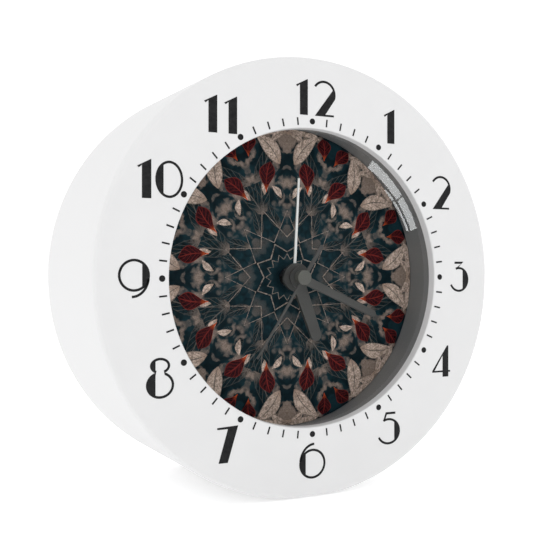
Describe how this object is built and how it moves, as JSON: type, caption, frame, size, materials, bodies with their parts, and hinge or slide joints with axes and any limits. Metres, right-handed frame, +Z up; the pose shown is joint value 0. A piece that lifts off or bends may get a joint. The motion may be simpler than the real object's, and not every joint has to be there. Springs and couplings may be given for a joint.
{
  "type": "desk alarm clock",
  "caption": "Round white desk alarm clock with a deep dial behind a clear lens, hour, minute, second and alarm hands, and a battery quartz movement set from the back.",
  "frame": {"origin": "bottom centre of the clock, on the surface it stands on, midway between the face and the back rim", "axes": "+Z up, +X to the right of a person who reads the dial, the face looks along -Y"},
  "size_m": [0.1132, 0.0466, 0.1114],
  "materials": {
    "white_housing": "satin white moulded plastic",
    "white_back": "fine textured white plastic",
    "clear_lens": "clear polished acrylic",
    "dark_dial_wall": "dark grey satin plastic",
    "printed_dial": "matte printed card with a leaf pattern",
    "foot_rubber": "matte dark rubber",
    "steel_screws": "zinc plated",
    "movement_plastic": "moulded plastic",
    "gear_plastic": "natural acetal",
    "brass_parts": "rolled brass",
    "motor_iron": "stamped soft iron",
    "copper_wire": "enamelled copper wire",
    "board_green": "solder mask on laminate",
    "black_plastic": "black moulded plastic",
    "contact_metal": "nickel plated strip",
    "cell_jacket": "printed jacket on a steel cell",
    "grey_controls": "grey moulded plastic",
    "dark_hands": "satin dark grey paint",
    "magnet_dark": "sintered magnet",
    "white_hand": "white paint"
  },
  "bodies": {
    "clock": {"front_housing": "white_housing", "lens": "clear_lens", "dial_cup": "dark_dial_wall", "dial_card": "printed_dial", "foot_strips": "foot_rubber", "dial_cup_screws": "steel_screws", "back_cover": "white_back", "back_cover_screws": "steel_screws", "movement_front_case": "movement_plastic", "movement_rear_case": "movement_plastic", "movement_case_screws": "steel_screws", "movement_lug_screws": "steel_screws", "train_bridge": "gear_plastic", "alarm_drag_washer": "brass_parts", "stator": "motor_iron", "coil_core": "motor_iron", "coil_bobbin": "gear_plastic", "coil_winding": "copper_wire", "circuit_board": "board_green", "chip_cover": "black_plastic", "quartz_crystal": "contact_metal", "alarm_contact_spring": "brass_parts", "battery": "cell_jacket", "battery_contact_plus": "contact_metal", "battery_contact_minus": "contact_metal", "buzzer_case": "black_plastic", "buzzer_disc": "brass_parts", "alarm_switch_body": "black_plastic"},
    "second_train": {"second_wheel": "gear_plastic", "second_hand": "dark_hands", "second_hand_cap": "dark_hands"},
    "third_wheel": {"third_wheel": "gear_plastic"},
    "centre_wheel": {"centre_wheel": "gear_plastic"},
    "step_wheel": {"step_wheel": "gear_plastic"},
    "rotor": {"rotor_pinion": "gear_plastic", "rotor_magnet": "magnet_dark"},
    "minute_train": {"minute_pipe": "gear_plastic", "minute_hand": "dark_hands"},
    "hour_train": {"hour_wheel": "gear_plastic", "hour_hand": "dark_hands"},
    "motion_work": {"motion_wheel": "gear_plastic", "time_set_knob": "grey_controls"},
    "alarm_train": {"alarm_wheel": "black_plastic", "alarm_hand": "white_hand"},
    "alarm_setting": {"alarm_set_gear": "gear_plastic", "alarm_set_knob": "grey_controls"},
    "battery_door": {"battery_door": "white_back"},
    "alarm_switch": {"alarm_switch_slider": "grey_controls"}
  },
  "joints": [
    {"name": "second_hand_spin", "type": "hinge", "parent": "clock", "child": "second_train", "pos_m": [0, 0, 0.0548], "axis": [0, 1, 0], "continuous": true},
    {"name": "third_wheel_spin", "type": "hinge", "parent": "clock", "child": "third_wheel", "pos_m": [-0.01104, 0, 0.06118], "axis": [0, 1, 0], "continuous": true},
    {"name": "centre_wheel_spin", "type": "hinge", "parent": "clock", "child": "centre_wheel", "pos_m": [0, 0, 0.0548], "axis": [0, 1, 0], "continuous": true},
    {"name": "step_wheel_spin", "type": "hinge", "parent": "clock", "child": "step_wheel", "pos_m": [-0.00525, 0, 0.06389], "axis": [0, 1, 0], "continuous": true},
    {"name": "rotor_spin", "type": "hinge", "parent": "clock", "child": "rotor", "pos_m": [-0.01425, 0, 0.06389], "axis": [0, 1, 0], "continuous": true},
    {"name": "minute_hand_spin", "type": "hinge", "parent": "clock", "child": "minute_train", "pos_m": [0, 0, 0.0548], "axis": [0, 1, 0], "continuous": true},
    {"name": "hour_hand_spin", "type": "hinge", "parent": "clock", "child": "hour_train", "pos_m": [0, 0, 0.0548], "axis": [0, 1, 0], "continuous": true},
    {"name": "time_knob_spin", "type": "hinge", "parent": "clock", "child": "motion_work", "pos_m": [0.01143, 0, 0.0614], "axis": [0, 1, 0], "continuous": true},
    {"name": "alarm_hand_spin", "type": "hinge", "parent": "clock", "child": "alarm_train", "pos_m": [0, 0, 0.0548], "axis": [0, 1, 0], "continuous": true},
    {"name": "alarm_knob_spin", "type": "hinge", "parent": "clock", "child": "alarm_setting", "pos_m": [0.01594, 0, 0.05053], "axis": [0, 1, 0], "continuous": true},
    {"name": "battery_door_lift", "type": "slide", "parent": "clock", "child": "battery_door", "axis": [0, 1, 0], "range_m": [0, 0.02]},
    {"name": "alarm_switch_slide", "type": "slide", "parent": "clock", "child": "alarm_switch", "axis": [1, 0, 0], "range_m": [0, 0.004]}
  ],
  "couplings": [
    {"joint": "third_wheel_spin", "follows": "second_hand_spin", "ratio": -0.13333},
    {"joint": "centre_wheel_spin", "follows": "second_hand_spin", "ratio": 0.016667},
    {"joint": "step_wheel_spin", "follows": "second_hand_spin", "ratio": -6},
    {"joint": "rotor_spin", "follows": "second_hand_spin", "ratio": 30},
    {"joint": "hour_hand_spin", "follows": "minute_hand_spin", "ratio": 0.083333},
    {"joint": "time_knob_spin", "follows": "minute_hand_spin", "ratio": -0.33333},
    {"joint": "alarm_knob_spin", "follows": "alarm_hand_spin", "ratio": -2}
  ]
}
